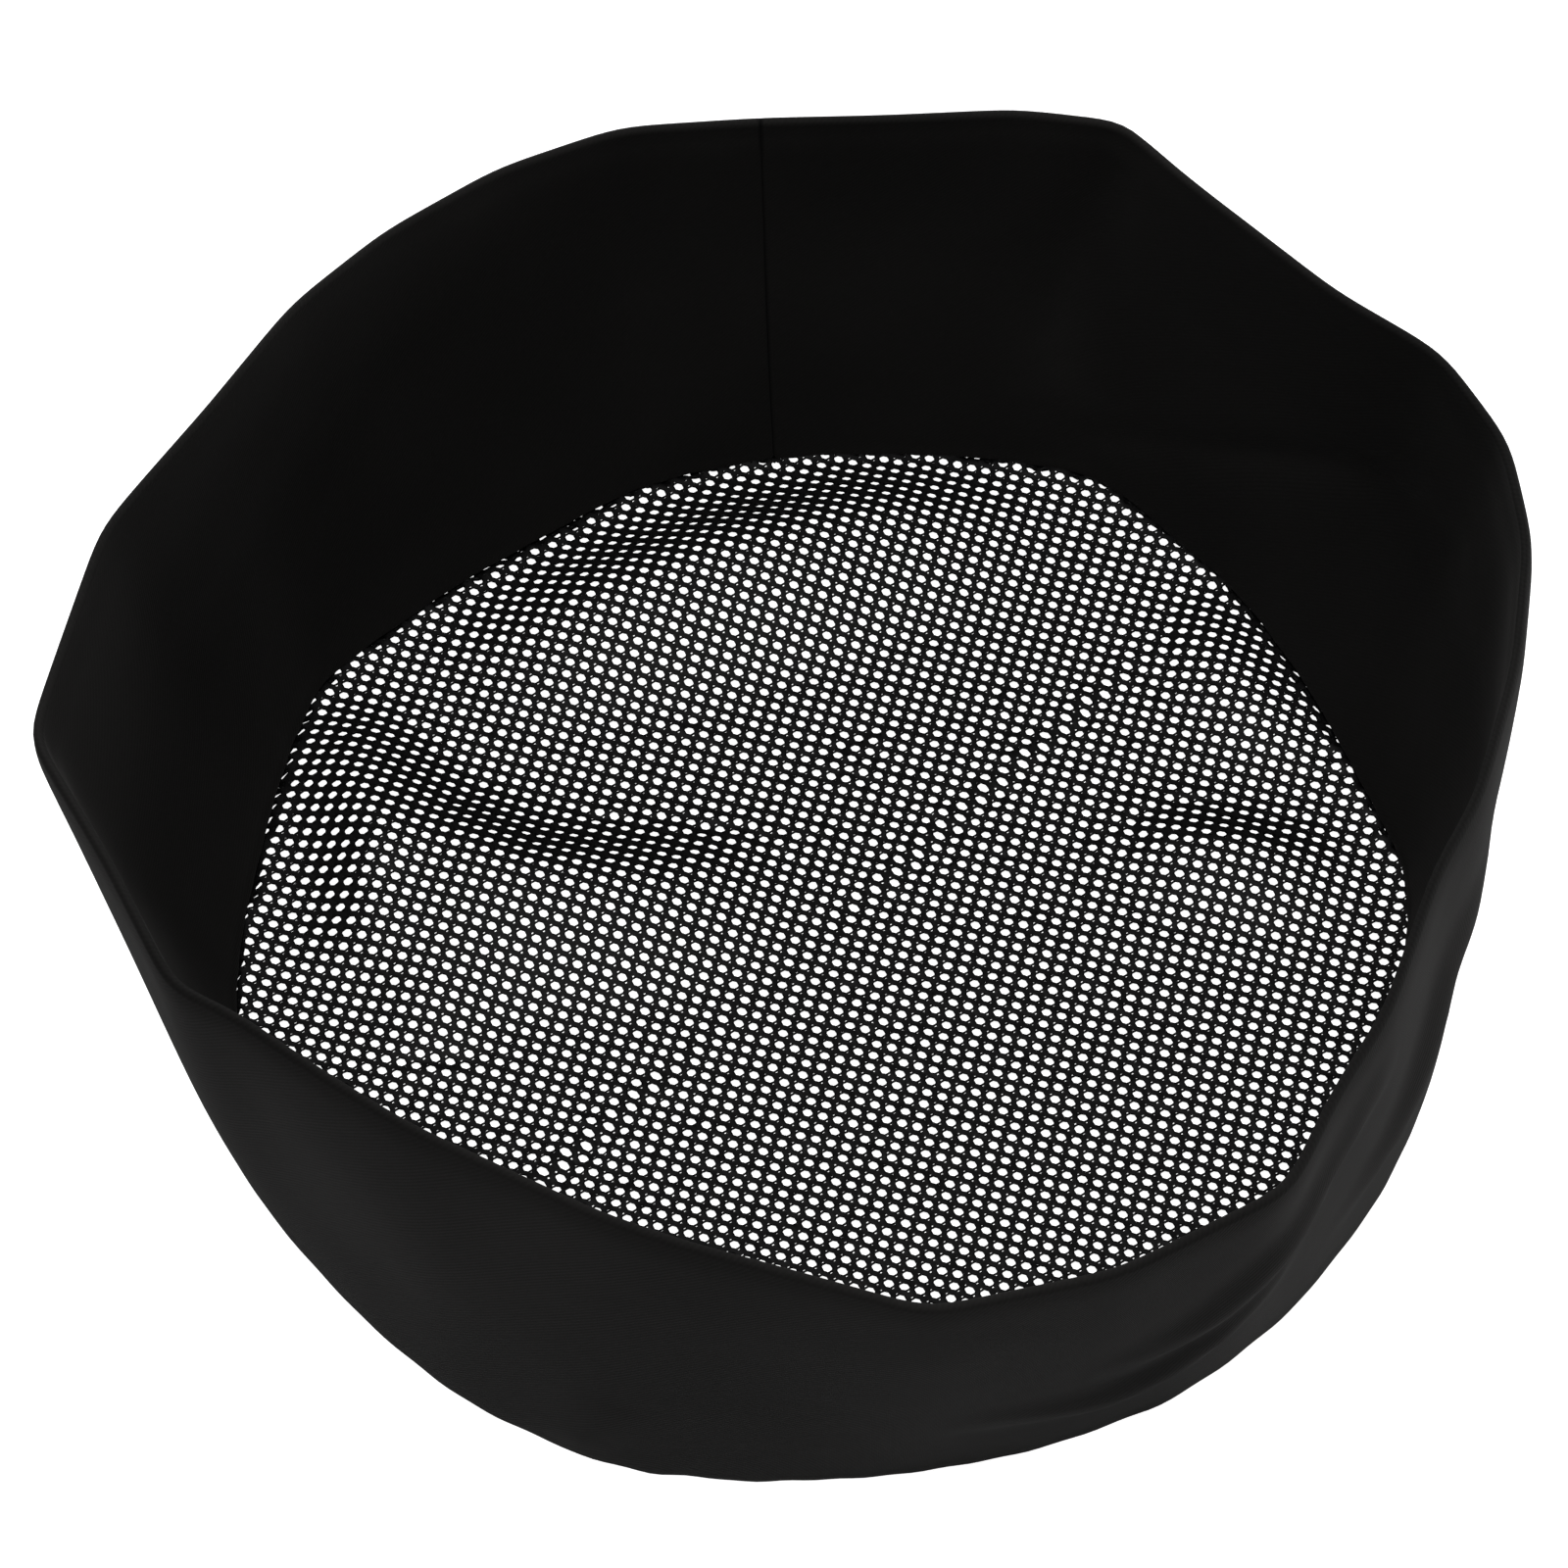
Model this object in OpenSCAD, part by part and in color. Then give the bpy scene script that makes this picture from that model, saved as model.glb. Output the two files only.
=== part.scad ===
// Low brimless chef's skull cap: a folded cloth band sewn to a flat mesh crown.
// It rests on the outside of its crown with the head opening facing up.
// Origin: centre of the crown's underside. +Z runs from the crown to the rim, the back seam is at +Y.

/* [Overall size] */
// radius of the crown seam, measured to the outside of the band
crown_radius = 88; // [75:0.5:105]
// height of the standing band
band_height = 86; // [60:1:110]
// how much further out the rim stands than the crown seam
rim_flare = 8; // [0:0.5:15]

/* [Layers] */
// thickness of the band's twill cloth
cloth_thick = 0.5; // [0.3:0.05:0.8]
// thickness of the stiffening interlining
interlining_thick = 0.6; // [0.3:0.05:0.8]
// thickness of the knitted mesh
mesh_thick = 0.8; // [0.4:0.05:1.2]
// air between layers that lie next to each other
layer_gap = 0.15; // [0.1:0.05:0.3]

/* [Seams] */
// width of cloth turned in beyond each seam
seam_allowance = 8; // [5:0.5:12]
// thickness of the sewing thread
thread_diameter = 0.3; // [0.2:0.05:0.4]
// distance from one stitch to the next
stitch_pitch = 2.5; // [2:0.1:4]
// width of the closed slit where the two ends of the band meet
back_slit = 0.2; // [0.1:0.05:0.5]

/* [Hidden] */

cloth_colour = [0.05, 0.05, 0.05];
interlining_colour = [0.75, 0.75, 0.72];
mesh_colour = [0.08, 0.08, 0.08];
thread_colour = [0.03, 0.03, 0.03];

flare_angle = atan(rim_flare / band_height);
wall_length = band_height / cos(flare_angle);
thread_channel = thread_diameter + 2 * layer_gap;

// Depths are measured inwards from the outside of the band, layer after layer.
outer_turn_depth = cloth_thick + thread_channel;
mesh_turn_depth = outer_turn_depth + cloth_thick + layer_gap;
inner_turn_depth = mesh_turn_depth + mesh_thick + layer_gap;
inner_leaf_low_depth = inner_turn_depth + cloth_thick + thread_channel;
interlining_depth = 2 * cloth_thick + 2 * layer_gap;
inner_leaf_depth = interlining_depth + interlining_thick + 2 * layer_gap + cloth_thick;
wall_thick = inner_leaf_depth + cloth_thick;

inner_leaf_foot = mesh_thick + layer_gap;
leaf_straight_from = 2 * seam_allowance;
fold_radius = wall_thick / 2;
fold_height = wall_length - fold_radius;
turn_top = seam_allowance;
back_turn_angle = 360 * seam_allowance / (2 * PI * crown_radius);
slit_angle = 360 * back_slit / (2 * PI * crown_radius);

stitch_length = 0.8 * stitch_pitch;
crown_stitch_height = 2.4;
crown_stitches = floor(2 * PI * crown_radius / stitch_pitch);
back_stitch_from = 2 * seam_allowance;
back_stitches = floor((fold_height - back_stitch_from) / stitch_pitch);

// Leans a drawing made upright on the band's outside line out to the band's real slope.
// In the drawing X is the distance from the outside of the band and Y is the height along it.
module leaning() {
    translate([crown_radius, 0])
        rotate(-flare_angle)
            children();
}

// One upright strip of cloth: from the given depth inwards, from one height to another.
module strip(depth, thick, from, to) {
    translate([-depth - thick, from])
        square([thick, to - from]);
}

// Section of the outer leaf with the edge turned in at the crown seam.
module outer_leaf_section() {
    strip(0, cloth_thick, 0, fold_height);
    strip(outer_turn_depth, cloth_thick, 0, turn_top);
    strip(0, outer_turn_depth + cloth_thick, 0, cloth_thick);
}

// Section of the inner leaf, which comes closer to the outer one above the turned-in edges.
module inner_leaf_section() {
    strip(inner_leaf_low_depth, cloth_thick, inner_leaf_foot, turn_top);
    polygon([
        [-inner_leaf_low_depth, turn_top],
        [-inner_leaf_depth, leaf_straight_from],
        [-inner_leaf_depth - cloth_thick, leaf_straight_from],
        [-inner_leaf_low_depth - cloth_thick, turn_top],
    ]);
    strip(inner_leaf_depth, cloth_thick, leaf_straight_from, fold_height);
    strip(inner_turn_depth, cloth_thick, inner_leaf_foot, turn_top);
    strip(inner_turn_depth, inner_leaf_low_depth + cloth_thick - inner_turn_depth,
        inner_leaf_foot, inner_leaf_foot + cloth_thick);
}

// Section of the round fold that makes the rim.
module rim_fold_section() {
    translate([-fold_radius, fold_height])
        intersection() {
            difference() {
                circle(r = fold_radius);
                circle(r = fold_radius - cloth_thick);
            }
            translate([-fold_radius, 0])
                square([2 * fold_radius, fold_radius]);
        }
}

// Section of the cloth ends turned back against the leaves on each side of the back seam.
module back_turn_section() {
    strip(cloth_thick, cloth_thick, turn_top + layer_gap, fold_height);
    strip(inner_leaf_depth - cloth_thick, cloth_thick, leaf_straight_from, fold_height);
}

// Turns a section round the cap, leaving the given angle open at the back seam.
module around_the_cap(open_angle) {
    rotate(90 + open_angle / 2)
        rotate_extrude(angle = 360 - open_angle)
            leaning()
                children();
}

// Turns a section over a short stretch on both sides of the back seam.
module beside_the_back_seam() {
    for (side = [0, 1])
        mirror([side, 0, 0])
            rotate(90 + slit_angle / 2)
                rotate_extrude(angle = back_turn_angle)
                    leaning()
                        children();
}

// A row of short stitches laid round the crown seam at the given depth.
module crown_stitch_row(depth) {
    for (i = [0 : crown_stitches - 1])
        rotate(360 * (i + 0.5) / crown_stitches)
            translate([crown_radius, 0, 0])
                rotate([0, flare_angle, 0])
                    translate([-depth, 0, crown_stitch_height])
                        rotate([90, 0, 0])
                            cylinder(h = stitch_length, d = thread_diameter, center = true, $fn = 24);
}

// A row of short stitches standing up the back seam at the given depth, to one side of the slit.
module back_stitch_row(depth, side) {
    for (i = [0 : back_stitches - 1])
        rotate(90)
            translate([crown_radius, 0, 0])
                rotate([0, flare_angle, 0])
                    translate([-depth, side * (back_slit + thread_diameter), back_stitch_from + i * stitch_pitch])
                        cylinder(h = stitch_length, d = thread_diameter, $fn = 24);
}

// The stitches of one thread of the back seam, on the outer leaf and on the inner leaf.
module back_stitches_on_both_leaves(side) {
    back_stitch_row(2 * cloth_thick + layer_gap + thread_diameter / 2, side);
    back_stitch_row(inner_leaf_depth - cloth_thick - layer_gap - thread_diameter / 2, side);
}

// One strip of twill folded over at the rim, so it makes both the outside and the lining.
module band_cloth() {
    color(cloth_colour) {
        around_the_cap(slit_angle) {
            outer_leaf_section();
            inner_leaf_section();
            rim_fold_section();
        }
        beside_the_back_seam()
            back_turn_section();
    }
}

// Stiffening layer between the two leaves, cut short of the turned-in ends at the back seam.
module band_interlining() {
    color(interlining_colour)
        around_the_cap(2 * back_turn_angle + 4 * slit_angle)
            strip(interlining_depth, interlining_thick, leaf_straight_from, fold_height);
}

// Flat knitted mesh crown with its edge turned up between the leaves of the band.
module crown_mesh() {
    color(mesh_colour) {
        cylinder(h = mesh_thick, r = crown_radius - mesh_turn_depth);
        rotate_extrude()
            leaning()
                strip(mesh_turn_depth, mesh_thick, mesh_thick / 2, turn_top);
    }
}

// Needle thread of the crown seam, on the outer side of the turned-in edges.
module crown_needle_thread() {
    color(thread_colour)
        crown_stitch_row(cloth_thick + thread_channel / 2);
}

// Bobbin thread of the crown seam, on the inner side of the turned-in edges.
module crown_bobbin_thread() {
    color(thread_colour)
        crown_stitch_row(inner_turn_depth + cloth_thick + thread_channel / 2);
}

// Needle thread of the back seam, to one side of the slit.
module back_needle_thread() {
    color(thread_colour)
        back_stitches_on_both_leaves(1);
}

// Bobbin thread of the back seam, to the other side of the slit.
module back_bobbin_thread() {
    color(thread_colour)
        back_stitches_on_both_leaves(-1);
}

band_cloth();
band_interlining();
crown_mesh();
crown_needle_thread();
crown_bobbin_thread();
back_needle_thread();
back_bobbin_thread();
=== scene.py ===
"""Looks of a low brimless chef's skull cap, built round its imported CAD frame.

The cap stands on its mesh crown with the head opening up. Lengths are in metres unless a name ends in mm.
The back seam is at +Y and the camera looks down into the opening from the front."""

import math

import bmesh
import bpy
import numpy as np
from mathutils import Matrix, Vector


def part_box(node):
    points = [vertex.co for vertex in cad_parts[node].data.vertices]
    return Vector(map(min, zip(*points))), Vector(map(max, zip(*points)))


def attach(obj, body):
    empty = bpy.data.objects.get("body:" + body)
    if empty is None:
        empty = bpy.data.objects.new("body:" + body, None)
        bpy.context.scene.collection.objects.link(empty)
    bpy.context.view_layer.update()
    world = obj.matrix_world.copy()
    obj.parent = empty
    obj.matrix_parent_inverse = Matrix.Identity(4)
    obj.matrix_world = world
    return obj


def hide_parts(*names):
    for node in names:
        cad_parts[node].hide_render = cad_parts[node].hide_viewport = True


MM = 0.001
BODY = "root"

# Corners where the stiff band breaks into facets, from the back seam round by the left, the front and the
# right. Each is the angle from +X in degrees and the distance from the cap's centre in millimetres.
RIM_CORNERS = [
    (97, 87.4), (110, 90.6), (122, 91.6), (134, 92.4), (145, 93.6), (158, 94.8), (171, 102.4), (189, 110.2),
    (201, 104.0), (213, 104.0), (217, 99.9), (225, 96.9), (234, 95.2), (251, 95.0), (258, 96.0),
    (276, 103.4), (290, 103.5), (304, 103.0), (312, 96.2), (320, 93.4), (334, 88.4), (342, 90.0),
    (356, 92.6), (368, 96.4), (378, 98.4), (388, 96.6), (398, 90.3), (415, 91.0), (424, 95.4), (433, 92.4),
    (445, 87.6),
]
CROWN_CORNERS = [
    (96, 90.2), (111, 89.2), (133, 88.2), (151, 94.2), (162, 91.9), (180, 92.0), (190, 93.6), (202, 95.3),
    (212, 93.9), (225, 93.0), (236, 93.2), (250, 92.6), (262, 90.0), (275, 88.5), (288, 88.9), (302, 90.5),
    (316, 90.8), (330, 91.1), (342, 91.6), (366, 91.6), (390, 88.6), (403, 91.4), (422, 96.4), (434, 92.8),
    (444, 90.6),
]
BAND_RADIUS_MM = 93
RIM_ROUNDING = 3.2 * MM
CROWN_ROUNDING = 5.0 * MM
BELLY = 2.0 * MM

# Soft folds, each as the places it runs through, then its height and its half width in millimetres.
# Those of the crown run through flat places in millimetres. They have one half width on the left of their
# run and another on the right.
# Those of the band run through angles in degrees and heights in millimetres. They stand outwards, and one
# with a height below zero stands inwards.
CROWN_FOLDS = [
    ([(-83, 41), (-73, 31), (-61, 14), (-48, 7), (-34, 5), (-16, 7), (3, 12)], 7.2, 7.4, 13.0),
    ([(-76, 36), (-72, 23), (-69, 12), (-70, 0), (-76, -11)], 3.0, 4.5, 4.5),
    ([(-68, 5), (-60, -13), (-56, -29)], 2.8, 6.5, 6.5),
    ([(-64, 42), (-48, 50), (-32, 58), (-15, 65), (2, 70), (20, 72), (44, 73)], 7.4, 7.6, 13.5),
    ([(51, 62), (63, 41), (76, 24)], 4.2, 6.5, 6.5),
    ([(40, 16), (61, 12), (81, 6)], 4.8, 5.4, 9.5),
]
BAND_FOLDS = [
    ([(350, 60), (335, 56), (327, 41), (318, 26)], 2.4, 3.6),
    ([(322, 72), (309, 68), (300, 50), (290, 44)], 2.0, 3.0),
    ([(310, 48), (300, 36), (292, 30), (278, 31)], 2.1, 2.8),
    ([(252, 30), (248, 11), (247, 2)], 0.8, 2.5),
    ([(69, 3), (52, 24), (33, 50), (16, 62)], 1.8, 2.8),
    ([(64, 88), (67, 55), (69, 20)], 3.6, 4.5),
    ([(138, 70), (155, 59), (172, 50)], -0.8, 6.0),
    ([(139, 63), (148, 56)], -0.4, 0.9),
    ([(124, 47), (127, 43)], -0.4, 0.8),
]

# Layers of the band, in the same order as in the CAD frame. Depths run inwards from the band's outside, to
# the near face of a layer or, where the name says so, to its middle.
CLOTH_THICK = 0.5 * MM
INTERLINING_THICK = 0.6 * MM
MESH_THICK = 0.6 * MM
SEAM_ALLOWANCE = 8 * MM
OUTER_TURN_MIDDLE = 1.35 * MM
MESH_TURN_DEPTH = 1.95 * MM
INNER_TURN_DEPTH = 2.95 * MM
INNER_LEAF_LOW_DEPTH = 4.05 * MM
INNER_LEAF_DEPTH = 1.9 * MM
INTERLINING_MIDDLE = 1.25 * MM
LINING_SLOPE_TOP = 50 * MM
FOOT_GAP = 0.3 * MM
MESH_BEND = 1.2 * MM
MESH_TURN_UP = 3 * MM
INTERLINING_SEAM_GAP = 2 * MM

# The stitches.
THREAD_RADIUS = 0.15 * MM
STITCH_PITCH = 2.5 * MM
CROWN_STITCH_HEIGHT = 2.4 * MM
CROWN_NEEDLE_DEPTH = 0.8 * MM
CROWN_BOBBIN_DEPTH = 3.75 * MM
BACK_STITCH_DEPTH = 0.6 * MM
BACK_STITCH_OFFSET = 0.5 * MM
BACK_STITCH_BELOW_RIM = 3 * MM

# The back seam: the strip raised by the turned-in ends, and the groove between them.
BACK_RAISE = 0.22 * MM
BACK_RAISE_EDGE = 0.5 * MM
BACK_GROOVE_DEPTH = 0.55 * MM
BACK_GROOVE_HALF = 0.3 * MM
# BACK_GAP_SHADE: the twill's colour carries painted shade for the groove's shadow, black at the seam and full
# within this distance of it.
BACK_GAP_SHADE = 0.5 * MM

# The puckers along the crown seam, and the faint waves of the band above them.
PUCKER_HEIGHT = 0.16 * MM
PUCKER_REACH = 7 * MM
WAVE_HEIGHT = 0.25 * MM
WAVE_SPAN = 86 * MM

# The pressed fold at the rim, where the two leaves come together.
FOLD_HALF = 0.5 * MM
FOLD_DROP = 0.8 * MM
FOLD_TAPER = 5 * MM
INTERLINING_BELOW_FOLD = 4 * MM

# The knitted mesh.
ROW_DIRECTION = math.radians(-15.2)
HOLE_PITCH = 2.30 * MM
ROW_PITCH = 1.95 * MM
HOLE_LENGTH = 1.44 * MM
HOLE_WIDTH = 1.06 * MM
HOLE_CHAMFER = 0.42 * MM
CREST_BEYOND_HOLE = 0.17 * MM
CREST_CHAMFER = 0.52 * MM
CREST_LIFT = 0.27 * MM
BORDER_LIFT = 0.12 * MM
CORNER_CUT_ALONG_ROW = 0.45 * MM
CORNER_CUT_ACROSS_ROWS = 0.4 * MM
SLIT_SHARE = 0.5
SLIT_LIFT_SHARE = 0.8

# How the cloth is settled. It is worked on SIM_SCALE times too big, because Blender's cloth is tuned for
# larger things. FOLDS_SET_IN, from 0 to 1, is how firmly its points are drawn back to their start.
SIM_SCALE = 10
SIM_FRAMES = 14
SIM_GRAVITY = 0.1
FOLDS_SET_IN = 0.9
CROWN_START_HEIGHT = 0.4 * MM
CROWN_RIPPLE = 0.2 * MM

# How finely things are divided.
SIM_COLUMNS = 240
BAND_COLUMNS = 340
BAND_ROWS = 28
INTERLINING_COLUMNS = 240
INTERLINING_ROWS = 16
CROWN_GRID = 1.6 * MM
CROWN_REACH = 100 * MM
FOLD_SAMPLES = 60
THREAD_SIDES = 6

# The studio. Each lamp is a disk: its name, its place and its power in watts.
LAMP_SIZE = 0.4
LAMPS = [
    ("top_softbox", (0.0, -0.3, 1.1), 9.5),
    ("left_softbox", (-0.5, -0.1, 0.9), 0.6),
    ("front_softbox", (0.15, -0.9, 0.4), 0.3),
    ("right_rim_lamp", (0.8, 0.3, 0.12), 5.0),
    ("left_rim_lamp", (-0.8, 0.5, 0.12), 0.2),
    ("back_softbox", (-0.3, 0.9, 0.35), 5.0),
]
LAMP_TARGET = (0, 0, 0.04)
AMBIENT_LIGHT = 0.05
FLOOR_BELOW_CAP = 0.2 * MM
CAMERA_PLACE = (-0.0072, -0.3691, 0.6575)
CAMERA_TARGET = (-0.0072, 0.026, 0)
CAMERA_LENS_MM = 115.2
CAMERA_SENSOR_MM = 36


def from_polar(angle_deg, radius_mm):
    """Flat points in metres for angles from +X and distances from the centre."""
    angle = np.radians(angle_deg)
    return np.stack([np.cos(angle), np.sin(angle)], axis=-1) * np.asarray(radius_mm)[..., None] * MM


def rounded_outline(corners, rounding, count=2048):
    """Points at even spacing round a polygon whose corners are rounded off, starting at the first corner."""
    angles, radii = np.array(corners, float).T
    corner_points = from_polar(angles, radii)
    closed = np.vstack([corner_points, corner_points[:1]])
    lengths = np.concatenate([[0], np.cumsum(np.linalg.norm(np.diff(closed, axis=0), axis=1))])
    places = np.arange(count) / count * lengths[-1]
    even = np.stack([np.interp(places, lengths, closed[:, axis]) for axis in (0, 1)], axis=1)
    frequency = np.fft.fftfreq(count, lengths[-1] / count)
    blur = np.exp(-2 * (math.pi * rounding * frequency) ** 2)
    return np.real(np.fft.ifft(np.fft.fft(even, axis=0) * blur[:, None], axis=0))


def sample_outline(outline, fractions):
    """Points of a closed outline at the given fractions of its way round."""
    places = np.mod(fractions, 1.0) * len(outline)
    low = np.floor(places).astype(int)
    part = (places - low)[:, None]
    return outline[low % len(outline)] * (1 - part) + outline[(low + 1) % len(outline)] * part


def new_piece(name, points, faces, smooth=True):
    """An object in the scene made of points and faces. The faces may differ in their numbers of corners."""
    mesh = bpy.data.meshes.new(name)
    mesh.from_pydata(np.asarray(points).tolist(), [], [list(map(int, face)) for face in faces])
    mesh.validate()
    if smooth:
        mesh.shade_smooth()
    piece = bpy.data.objects.new(name, mesh)
    bpy.context.scene.collection.objects.link(piece)
    return piece


def face_outwards(piece):
    """Turns every face of a closed piece so that its front is on the outside."""
    work = bmesh.new()
    work.from_mesh(piece.data)
    bmesh.ops.recalc_face_normals(work, faces=work.faces)
    work.to_mesh(piece.data)
    work.free()


def grid_faces(columns, rows, wrap_columns, wrap_rows):
    """Quads over a grid of points stored column by column."""
    column, row = np.meshgrid(np.arange(columns - (not wrap_columns)),
                              np.arange(rows - (not wrap_rows)), indexing="ij")
    next_column = (column + 1) % columns
    next_row = (row + 1) % rows
    quads = np.stack([column * rows + row, next_column * rows + row,
                      next_column * rows + next_row, column * rows + next_row], axis=-1)
    return quads.reshape(-1, 4)


def catmull_rom(points, places):
    """Smooth samples of a closed run of points, along its first axis, at places counted in points."""
    count = len(points)
    low = np.floor(places).astype(int)
    t = (places - low).reshape((-1,) + (1,) * (points.ndim - 1))
    before, here, after, beyond = (points[(low + step) % count] for step in (-1, 0, 1, 2))
    return 0.5 * (2 * here + (after - before) * t
                  + (2 * before - 5 * here + 4 * after - beyond) * t ** 2
                  + (3 * here - before - 3 * after + beyond) * t ** 3)


def fold_height(x_mm, y_mm, folds):
    """Height in metres that soft folds add at flat places. Each one fades away towards its two ends.

    A fold is the places it runs through, its height, and its half widths on the left and right of its run."""
    height = np.zeros(np.shape(x_mm))
    for places, top, left_width, right_width in folds:
        places = np.array(places, float)
        knots = np.linspace(0, 1, len(places))
        share = np.linspace(0, 1, FOLD_SAMPLES)
        trace = np.stack([np.interp(share, knots, places[:, axis]) for axis in (0, 1)], axis=1)
        ahead = np.gradient(trace, axis=0)
        nearest = np.hypot(x_mm[..., None] - trace[:, 0], y_mm[..., None] - trace[:, 1]).argmin(axis=-1)
        away_x, away_y = x_mm - trace[nearest, 0], y_mm - trace[nearest, 1]
        on_left = ahead[nearest, 0] * away_y > ahead[nearest, 1] * away_x
        half_width = np.where(on_left, left_width, right_width)
        strength = np.sin(math.pi * share)[nearest]
        height += top * MM * strength * np.exp(-0.5 * (np.hypot(away_x, away_y) / half_width) ** 2)
    return height


def square(half):
    """Points and faces of a flat square at height zero, from its centre to its sides half across."""
    return [(-half, -half, 0), (half, -half, 0), (half, half, 0), (-half, half, 0)], [(0, 1, 2, 3)]


def settle_cloth(points, faces, held, extra_cloth, bending, on_table=False):
    """Lets a sheet of cloth come to rest with some of its points held, and returns the new points.

    The sheet is first cut larger by extra_cloth, so it buckles a little between the points that are held.
    Its folds are set in: every other point is drawn back to its start."""
    scene = bpy.context.scene
    sheet = new_piece("settling_cloth", points * SIM_SCALE, faces, smooth=False)
    group = sheet.vertex_groups.new(name="held")
    group.add(list(range(len(points))), FOLDS_SET_IN, "REPLACE")
    group.add([int(i) for i in held], 1.0, "REPLACE")
    cloth = sheet.modifiers.new("settling", "CLOTH")
    settings = cloth.settings
    settings.quality = 6
    settings.mass = 0.15
    settings.air_damping = 3
    settings.tension_stiffness = 40
    settings.compression_stiffness = 40
    settings.shear_stiffness = 20
    settings.bending_stiffness = bending
    settings.vertex_group_mass = "held"
    settings.shrink_min = -extra_cloth
    settings.effector_weights.gravity = SIM_GRAVITY
    cloth.collision_settings.use_collision = on_table
    cloth.collision_settings.distance_min = 0.003
    helpers = [sheet]
    if on_table:
        table = new_piece("settling_table", *square(1.5), smooth=False)
        table.modifiers.new("stops_cloth", "COLLISION")
        helpers.append(table)
    for step in range(1, SIM_FRAMES + 1):
        scene.frame_set(step)
    settled = sheet.evaluated_get(bpy.context.evaluated_depsgraph_get()).data
    result = np.empty(len(points) * 3, np.float32)
    settled.vertices.foreach_get("co", result)
    for helper in helpers:
        data = helper.data
        bpy.data.objects.remove(helper)
        bpy.data.meshes.remove(data)
    scene.frame_set(1)
    return result.reshape(-1, 3).astype(float) / SIM_SCALE


def shaped_wall(rim_outline, crown_outline, columns, rows, slope_length):
    """The outside of the band, column by column from the crown seam up, with its belly and its folds."""
    fractions = np.arange(columns) / columns
    foot = sample_outline(crown_outline, fractions)
    top = sample_outline(rim_outline, fractions)
    lean = np.linalg.norm(top - foot, axis=1)
    top_height = np.sqrt(slope_length ** 2 - lean ** 2)
    share = np.linspace(0, 1, rows)[None, :, None]
    foot_points = np.column_stack([foot, np.zeros(columns)])[:, None, :]
    top_points = np.column_stack([top, top_height])[:, None, :]
    wall = foot_points * (1 - share) + top_points * share
    around = np.roll(wall, -1, axis=0) - np.roll(wall, 1, axis=0)
    outward = np.cross(around, np.gradient(wall, axis=1))
    outward /= np.linalg.norm(outward, axis=2, keepdims=True)
    belly = BELLY * np.sqrt(np.sin(math.pi * share))
    angle = np.mod(np.arctan2(wall[:, :, 1], wall[:, :, 0]), 2 * math.pi)
    folds = [([(math.radians(at) * BAND_RADIUS_MM, up) for at, up in places], top, half_width, half_width)
             for places, top, half_width in BAND_FOLDS]
    raised = fold_height(angle * BAND_RADIUS_MM, wall[:, :, 2] / MM, folds)
    return wall + outward * (belly + raised[:, :, None])


def settled_wall(rim_outline, crown_outline, slope_length):
    """The outside of the band after its cloth has settled, held at the crown seam and at the rim."""
    wall = shaped_wall(rim_outline, crown_outline, SIM_COLUMNS, BAND_ROWS, slope_length)
    index = np.arange(SIM_COLUMNS * BAND_ROWS).reshape(SIM_COLUMNS, BAND_ROWS)
    held = np.concatenate([index[:, 0], index[:, -1]])
    faces = grid_faces(SIM_COLUMNS, BAND_ROWS, True, False)
    points = settle_cloth(wall.reshape(-1, 3), faces, held, extra_cloth=0.001, bending=12)
    return points.reshape(wall.shape)


class BandWall:
    """The settled outside of the band. It gives points from places along it, heights and depths into it."""

    def __init__(self, wall, slope_length):
        self.wall = wall
        self.length = slope_length
        along = np.roll(wall, -1, axis=0) - np.roll(wall, 1, axis=0)
        up = np.gradient(wall, axis=1)
        inward = np.cross(up, along)
        self.up = up / np.linalg.norm(up, axis=2, keepdims=True)
        self.inward = inward / np.linalg.norm(inward, axis=2, keepdims=True)
        loop = np.vstack([wall[:, wall.shape[1] // 2], wall[:1, wall.shape[1] // 2]])
        self.girth = np.linalg.norm(np.diff(loop, axis=0), axis=1).sum()

    def at_heights(self, field, heights):
        rows = field.shape[1]
        places = np.clip(heights / self.length, 0, 1) * (rows - 1)
        low = np.minimum(np.floor(places).astype(int), rows - 2)
        part = (places - low)[None, :, None]
        return field[:, low] * (1 - part) + field[:, low + 1] * part

    def points(self, fractions, heights, depths):
        """Grid of points: one column per fraction, one row per pair of height and depth."""
        places = np.mod(fractions, 1.0) * len(self.wall)
        heights = np.asarray(heights, float)
        over = np.maximum(heights - self.length, 0)[None, :, None]
        under = np.minimum(heights, 0)[None, :, None]
        surface, up, inward = (catmull_rom(self.at_heights(field, heights), places)
                               for field in (self.wall, self.up, self.inward))
        return surface + up * (over + under) + inward * np.asarray(depths)[None, :, None], inward, up


def arc(centre, radius, start_deg, end_deg, count):
    """Points along an arc, with its two ends."""
    angles = np.radians(np.linspace(start_deg, end_deg, count))
    return np.stack([centre[0] + radius * np.cos(angles), centre[1] + radius * np.sin(angles)], axis=1)


def half_ellipse(centre, half_width, height, count):
    """The upper half of an ellipse, from its near side over the top to its far side."""
    return np.array(centre) + arc((0, 0), 1.0, 180, 0, count) * (half_width, height)


def line(start, end, count):
    """Points from start to end, without the two ends."""
    share = np.linspace(0, 1, count + 2)[1:-1, None]
    return np.array(start) * (1 - share) + np.array(end) * share


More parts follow.
